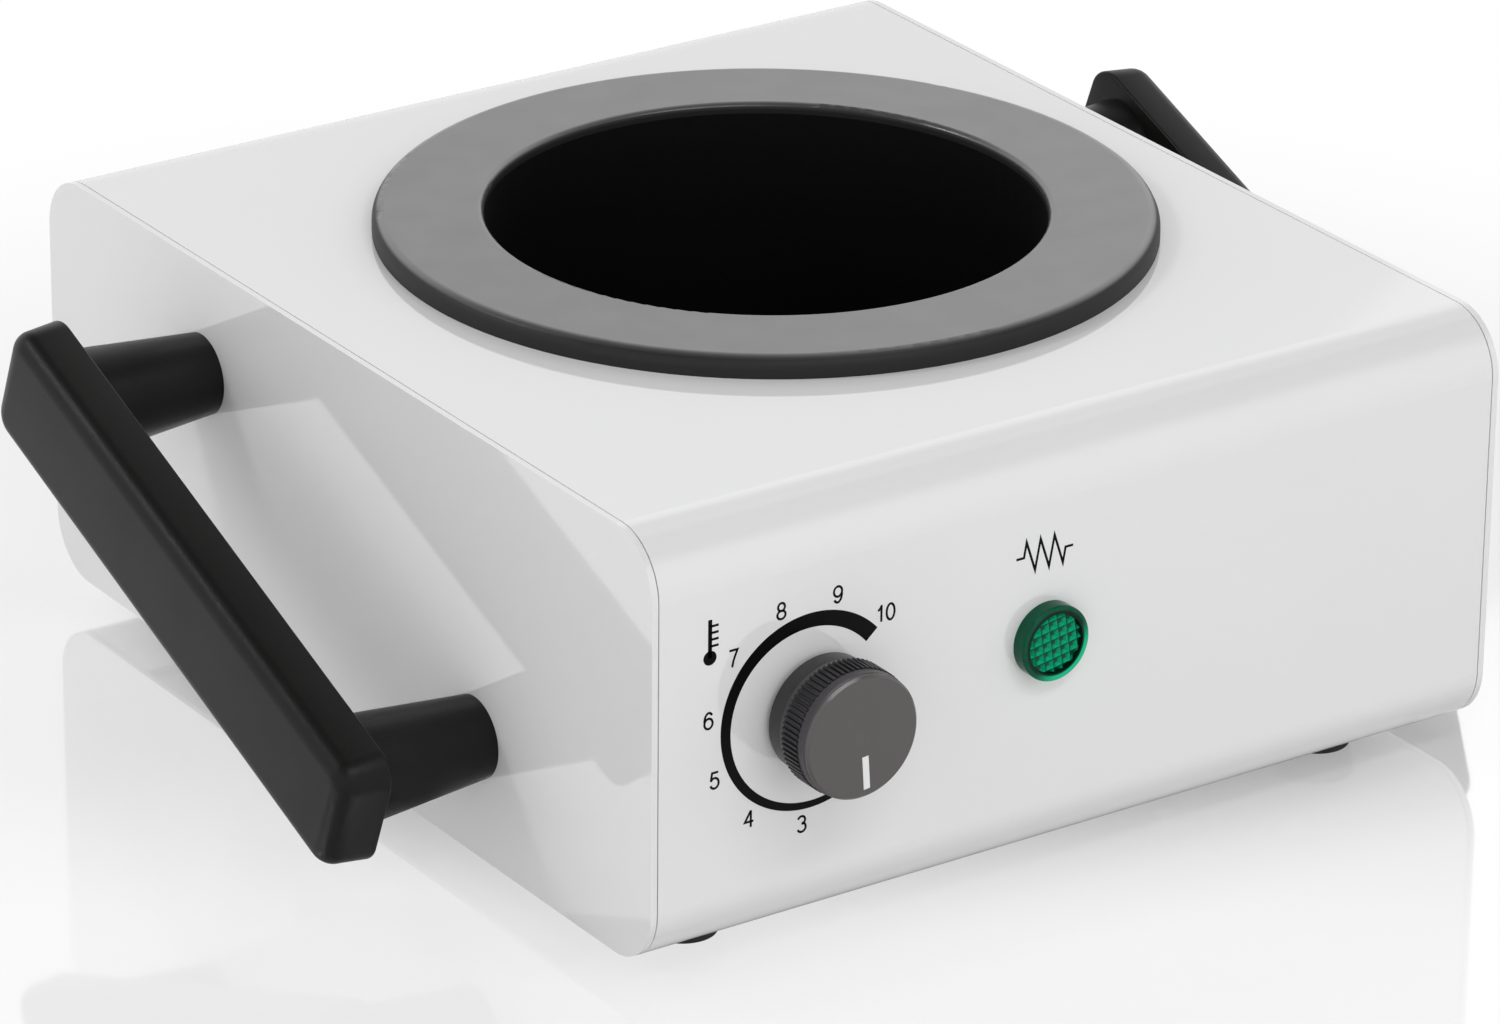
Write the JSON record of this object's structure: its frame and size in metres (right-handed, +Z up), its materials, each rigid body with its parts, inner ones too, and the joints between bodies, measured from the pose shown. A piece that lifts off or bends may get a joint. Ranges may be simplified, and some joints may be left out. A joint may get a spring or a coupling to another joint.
{
  "type": "wax warmer",
  "caption": "Low white box wax warmer with a deep round heated well, a thermostat knob, a pilot lamp, aslant side handles and rubber feet.",
  "frame": {"origin": "on the table, under the middle of the housing", "axes": "+X to the right of someone facing the front, +Y to the rear, +Z up; the knob and lamp face -Y"},
  "size_m": [0.3136, 0.2888, 0.112],
  "materials": {
    "white_enamel": "gloss white enamel",
    "zinc_sheet": "zinc plated sheet",
    "screw_steel": "zinc plated",
    "black_rubber": "matt",
    "collar_black": "satin black",
    "pot_coat": "black non-stick coat, slightly glossy",
    "silicone": "matt silicone",
    "heater_steel": "heat-tinted sheet",
    "mineral_wool": "matt fibre",
    "pillar_steel": "turned",
    "inner_black": "moulded",
    "copper": "drawn copper",
    "switch_cream": "moulded",
    "terminal_brass": "plain brass",
    "knob_plastic": "satin black moulding",
    "cap_plastic": "satin dark grey disc",
    "pointer_white": "plain white inlay",
    "lens_green": "clear green with a waffle face",
    "neon_glass": "clear",
    "handle_plastic": "finely textured black phenolic",
    "gland_plastic": "moulded nylon",
    "wire_cream": "glass-sleeved silicone wire",
    "wire_brown": "insulated wire",
    "wire_blue": "insulated wire",
    "wire_green": "insulated wire"
  },
  "bodies": {
    "warmer": {"housing_wrap": "white_enamel", "side_plate_left": "white_enamel", "side_plate_right": "white_enamel", "base_plate": "zinc_sheet", "base_screws": "screw_steel", "rubber_feet": "black_rubber", "foot_screws": "screw_steel", "foot_nuts": "screw_steel", "collar_ring": "collar_black", "collar_screws": "screw_steel", "heating_pot": "pot_coat", "pot_gasket": "silicone", "heater_band": "heater_steel", "band_screw": "screw_steel", "insulation_sleeve": "mineral_wool", "insulation_disc": "mineral_wool", "support_pillars": "pillar_steel", "pillar_screws": "screw_steel", "thermal_cutout": "inner_black", "sensor_bulb": "copper", "bulb_clip": "zinc_sheet", "capillary_tube": "copper", "thermostat_switch": "switch_cream", "thermostat_terminals": "terminal_brass", "bush_nut": "screw_steel", "bush_washer": "screw_steel", "lamp_lens": "lens_green", "lamp_holder": "inner_black", "lamp_clip": "zinc_sheet", "neon_lamp": "neon_glass", "lamp_terminals": "terminal_brass", "handle_bar_left": "handle_plastic", "handle_bar_right": "handle_plastic", "handle_posts_left": "handle_plastic", "handle_posts_right": "handle_plastic", "handle_inserts": "terminal_brass", "handle_screws": "screw_steel", "handle_washers": "screw_steel", "gland_body": "gland_plastic", "gland_nut": "gland_plastic", "gland_seal": "black_rubber", "gland_locknut": "gland_plastic", "terminal_block": "switch_cream", "terminal_screws": "terminal_brass", "earth_stud": "terminal_brass", "heater_leads": "wire_cream", "switch_leads": "wire_brown", "lamp_leads": "wire_blue", "earth_lead": "wire_green"},
    "knob": {"knob_body": "knob_plastic", "knob_cap": "cap_plastic", "knob_pointer": "pointer_white", "knob_spring": "zinc_sheet", "thermostat_spindle": "screw_steel"}
  },
  "joints": [
    {"name": "thermostat_turn", "type": "hinge", "parent": "warmer", "child": "knob", "pos_m": [-0.0706, -0.127, 0.0591], "axis": [0, 1, 0], "range_deg": [-54.06, 232.14]}
  ]
}
